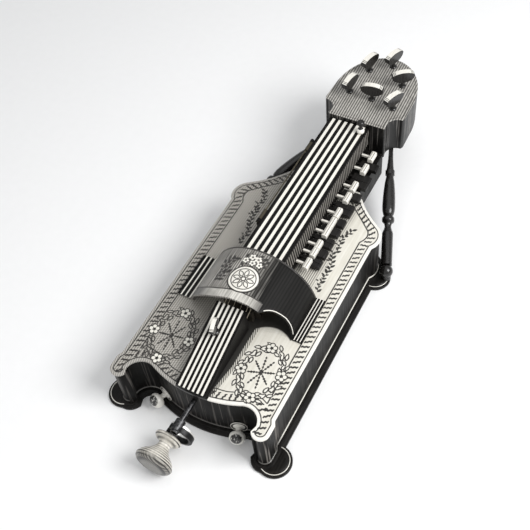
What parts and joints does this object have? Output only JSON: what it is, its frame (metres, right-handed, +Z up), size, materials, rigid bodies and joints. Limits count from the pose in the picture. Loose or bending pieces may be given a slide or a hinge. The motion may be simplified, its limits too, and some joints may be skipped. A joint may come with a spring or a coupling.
{
  "type": "hurdy-gurdy",
  "caption": "Box-bodied hurdy-gurdy: a cranked wheel under an arched cover bows gut strings stopped by sliding keys in a lidded keybox, with pegs in a shield-shaped head on turned struts.",
  "frame": {"origin": "underside of the back plate, on the centre line, under the middle of the straight sides", "axes": "+Y along the strings towards the pegs, +X towards the keys, +Z up out of the soundboard"},
  "size_m": [0.3118, 0.8054, 0.182],
  "materials": {
    "ebony": "polished ebony, with inlaid ivory lines on the lid, tailpiece and pegs",
    "ivory": "polished bone or ivory",
    "side_wood": "dark figured and polished",
    "table_wood": "pale satin, with a drawn border, wreaths and sprays",
    "head_wood": "satin, with an inlaid edge line",
    "block_wood": "bare wood",
    "boxwood": "turned and waxed",
    "iron": "black forged iron",
    "brass": "satin",
    "gut": "twisted gut"
  },
  "bodies": {
    "body": {"back_plate": "side_wood", "soundboard": "table_wood", "side_wall": "side_wood", "tail_block": "block_wood", "wheel_brace": "block_wood", "neck_block": "side_wood", "keybox": "ebony", "pegbox": "head_wood", "tailpiece": "ebony", "bridge": "boxwood", "nut": "ivory", "trumpet_dog": "boxwood", "strut_left": "ebony", "strut_right": "ebony", "strap_button_left": "ivory", "strap_button_right": "ivory", "lid_hinge_pin": "brass", "string_fly": "gut", "string_great_drone": "gut", "string_melody_left": "gut", "string_melody_right": "gut", "string_small_drone": "gut", "string_trumpet": "gut"},
    "drive": {"wheel": "block_wood", "axle": "iron", "crank_arm": "iron"},
    "handle": {"handle_knob": "boxwood"},
    "lid": {"keybox_lid": "ebony", "lid_knob": "ebony"},
    "cover": {"wheel_cover": "side_wood"},
    "trumpet_peg": {"tirant_peg": "ebony"},
    "peg_body_1": {"peg_1": "ebony"},
    "peg_body_2": {"peg_2": "ebony"},
    "peg_body_3": {"peg_3": "ebony"},
    "peg_body_4": {"peg_4": "ebony"},
    "peg_body_5": {"peg_5": "ebony"},
    "peg_body_6": {"peg_6": "ebony"},
    "keypiece_01_raised": {"key_01_raised": "ivory"},
    "keypiece_02_natural": {"key_02_natural": "ebony"},
    "keypiece_03_raised": {"key_03_raised": "ivory"},
    "keypiece_04_natural": {"key_04_natural": "ebony"},
    "keypiece_05_natural": {"key_05_natural": "ebony"},
    "keypiece_06_raised": {"key_06_raised": "ivory"},
    "keypiece_07_natural": {"key_07_natural": "ebony"},
    "keypiece_08_raised": {"key_08_raised": "ivory"},
    "keypiece_09_natural": {"key_09_natural": "ebony"},
    "keypiece_10_natural": {"key_10_natural": "ebony"},
    "keypiece_11_raised": {"key_11_raised": "ivory"},
    "keypiece_12_natural": {"key_12_natural": "ebony"},
    "keypiece_13_raised": {"key_13_raised": "ivory"},
    "keypiece_14_natural": {"key_14_natural": "ebony"},
    "keypiece_15_raised": {"key_15_raised": "ivory"},
    "keypiece_16_natural": {"key_16_natural": "ebony"},
    "keypiece_17_natural": {"key_17_natural": "ebony"},
    "keypiece_18_raised": {"key_18_raised": "ivory"},
    "keypiece_19_natural": {"key_19_natural": "ebony"},
    "keypiece_20_raised": {"key_20_raised": "ivory"},
    "keypiece_21_natural": {"key_21_natural": "ebony"},
    "keypiece_22_natural": {"key_22_natural": "ebony"},
    "keypiece_23_raised": {"key_23_raised": "ivory"}
  },
  "joints": [
    {"name": "wheel_spin", "type": "hinge", "parent": "body", "child": "drive", "pos_m": [0, 0.005, 0.066], "axis": [0, 1, 0], "continuous": true},
    {"name": "handle_spin", "type": "hinge", "parent": "drive", "child": "handle", "pos_m": [-0.01532, -0.2476, 0.03314], "axis": [0, 1, 0], "continuous": true},
    {"name": "lid_hinge", "type": "hinge", "parent": "body", "child": "lid", "pos_m": [-0.0386, 0.2, 0.1403], "axis": [0, -1, 0], "range_deg": [0, 100]},
    {"name": "cover_lift", "type": "slide", "parent": "body", "child": "cover", "axis": [0, 0, 1], "range_m": [0, 0.06]},
    {"name": "peg_1_turn", "type": "hinge", "parent": "body", "child": "peg_body_1", "pos_m": [-0.02705, 0.422, 0.15], "axis": [0, 0, 1], "continuous": true},
    {"name": "peg_2_turn", "type": "hinge", "parent": "body", "child": "peg_body_2", "pos_m": [0.0152, 0.41802, 0.15], "axis": [0, 0, 1], "continuous": true},
    {"name": "peg_3_turn", "type": "hinge", "parent": "body", "child": "peg_body_3", "pos_m": [0.05673, 0.41007, 0.15], "axis": [0, 0, 1], "continuous": true},
    {"name": "peg_4_turn", "type": "hinge", "parent": "body", "child": "peg_body_4", "pos_m": [-0.01782, 0.48504, 0.15], "axis": [0, 0, 1], "continuous": true},
    {"name": "peg_5_turn", "type": "hinge", "parent": "body", "child": "peg_body_5", "pos_m": [0.04963, 0.46886, 0.15], "axis": [0, 0, 1], "continuous": true},
    {"name": "peg_6_turn", "type": "hinge", "parent": "body", "child": "peg_body_6", "pos_m": [0.01626, 0.50961, 0.15], "axis": [0, 0, 1], "continuous": true},
    {"name": "trumpet_peg_turn", "type": "hinge", "parent": "body", "child": "trumpet_peg", "pos_m": [-0.004, -0.088, 0.13], "axis": [0, 0, 1], "continuous": true},
    {"name": "key_01_raised_push", "type": "slide", "parent": "body", "child": "keypiece_01_raised", "axis": [-1, 0, 0], "range_m": [0, 0.004]},
    {"name": "key_02_natural_push", "type": "slide", "parent": "body", "child": "keypiece_02_natural", "axis": [-1, 0, 0], "range_m": [0, 0.004]},
    {"name": "key_03_raised_push", "type": "slide", "parent": "body", "child": "keypiece_03_raised", "axis": [-1, 0, 0], "range_m": [0, 0.004]},
    {"name": "key_04_natural_push", "type": "slide", "parent": "body", "child": "keypiece_04_natural", "axis": [-1, 0, 0], "range_m": [0, 0.004]},
    {"name": "key_05_natural_push", "type": "slide", "parent": "body", "child": "keypiece_05_natural", "axis": [-1, 0, 0], "range_m": [0, 0.004]},
    {"name": "key_06_raised_push", "type": "slide", "parent": "body", "child": "keypiece_06_raised", "axis": [-1, 0, 0], "range_m": [0, 0.004]},
    {"name": "key_07_natural_push", "type": "slide", "parent": "body", "child": "keypiece_07_natural", "axis": [-1, 0, 0], "range_m": [0, 0.004]},
    {"name": "key_08_raised_push", "type": "slide", "parent": "body", "child": "keypiece_08_raised", "axis": [-1, 0, 0], "range_m": [0, 0.004]},
    {"name": "key_09_natural_push", "type": "slide", "parent": "body", "child": "keypiece_09_natural", "axis": [-1, 0, 0], "range_m": [0, 0.004]},
    {"name": "key_10_natural_push", "type": "slide", "parent": "body", "child": "keypiece_10_natural", "axis": [-1, 0, 0], "range_m": [0, 0.004]},
    {"name": "key_11_raised_push", "type": "slide", "parent": "body", "child": "keypiece_11_raised", "axis": [-1, 0, 0], "range_m": [0, 0.004]},
    {"name": "key_12_natural_push", "type": "slide", "parent": "body", "child": "keypiece_12_natural", "axis": [-1, 0, 0], "range_m": [0, 0.004]},
    {"name": "key_13_raised_push", "type": "slide", "parent": "body", "child": "keypiece_13_raised", "axis": [-1, 0, 0], "range_m": [0, 0.004]},
    {"name": "key_14_natural_push", "type": "slide", "parent": "body", "child": "keypiece_14_natural", "axis": [-1, 0, 0], "range_m": [0, 0.004]},
    {"name": "key_15_raised_push", "type": "slide", "parent": "body", "child": "keypiece_15_raised", "axis": [-1, 0, 0], "range_m": [0, 0.004]},
    {"name": "key_16_natural_push", "type": "slide", "parent": "body", "child": "keypiece_16_natural", "axis": [-1, 0, 0], "range_m": [0, 0.004]},
    {"name": "key_17_natural_push", "type": "slide", "parent": "body", "child": "keypiece_17_natural", "axis": [-1, 0, 0], "range_m": [0, 0.004]},
    {"name": "key_18_raised_push", "type": "slide", "parent": "body", "child": "keypiece_18_raised", "axis": [-1, 0, 0], "range_m": [0, 0.004]},
    {"name": "key_19_natural_push", "type": "slide", "parent": "body", "child": "keypiece_19_natural", "axis": [-1, 0, 0], "range_m": [0, 0.004]},
    {"name": "key_20_raised_push", "type": "slide", "parent": "body", "child": "keypiece_20_raised", "axis": [-1, 0, 0], "range_m": [0, 0.004]},
    {"name": "key_21_natural_push", "type": "slide", "parent": "body", "child": "keypiece_21_natural", "axis": [-1, 0, 0], "range_m": [0, 0.004]},
    {"name": "key_22_natural_push", "type": "slide", "parent": "body", "child": "keypiece_22_natural", "axis": [-1, 0, 0], "range_m": [0, 0.004]},
    {"name": "key_23_raised_push", "type": "slide", "parent": "body", "child": "keypiece_23_raised", "axis": [-1, 0, 0], "range_m": [0, 0.004]}
  ]
}
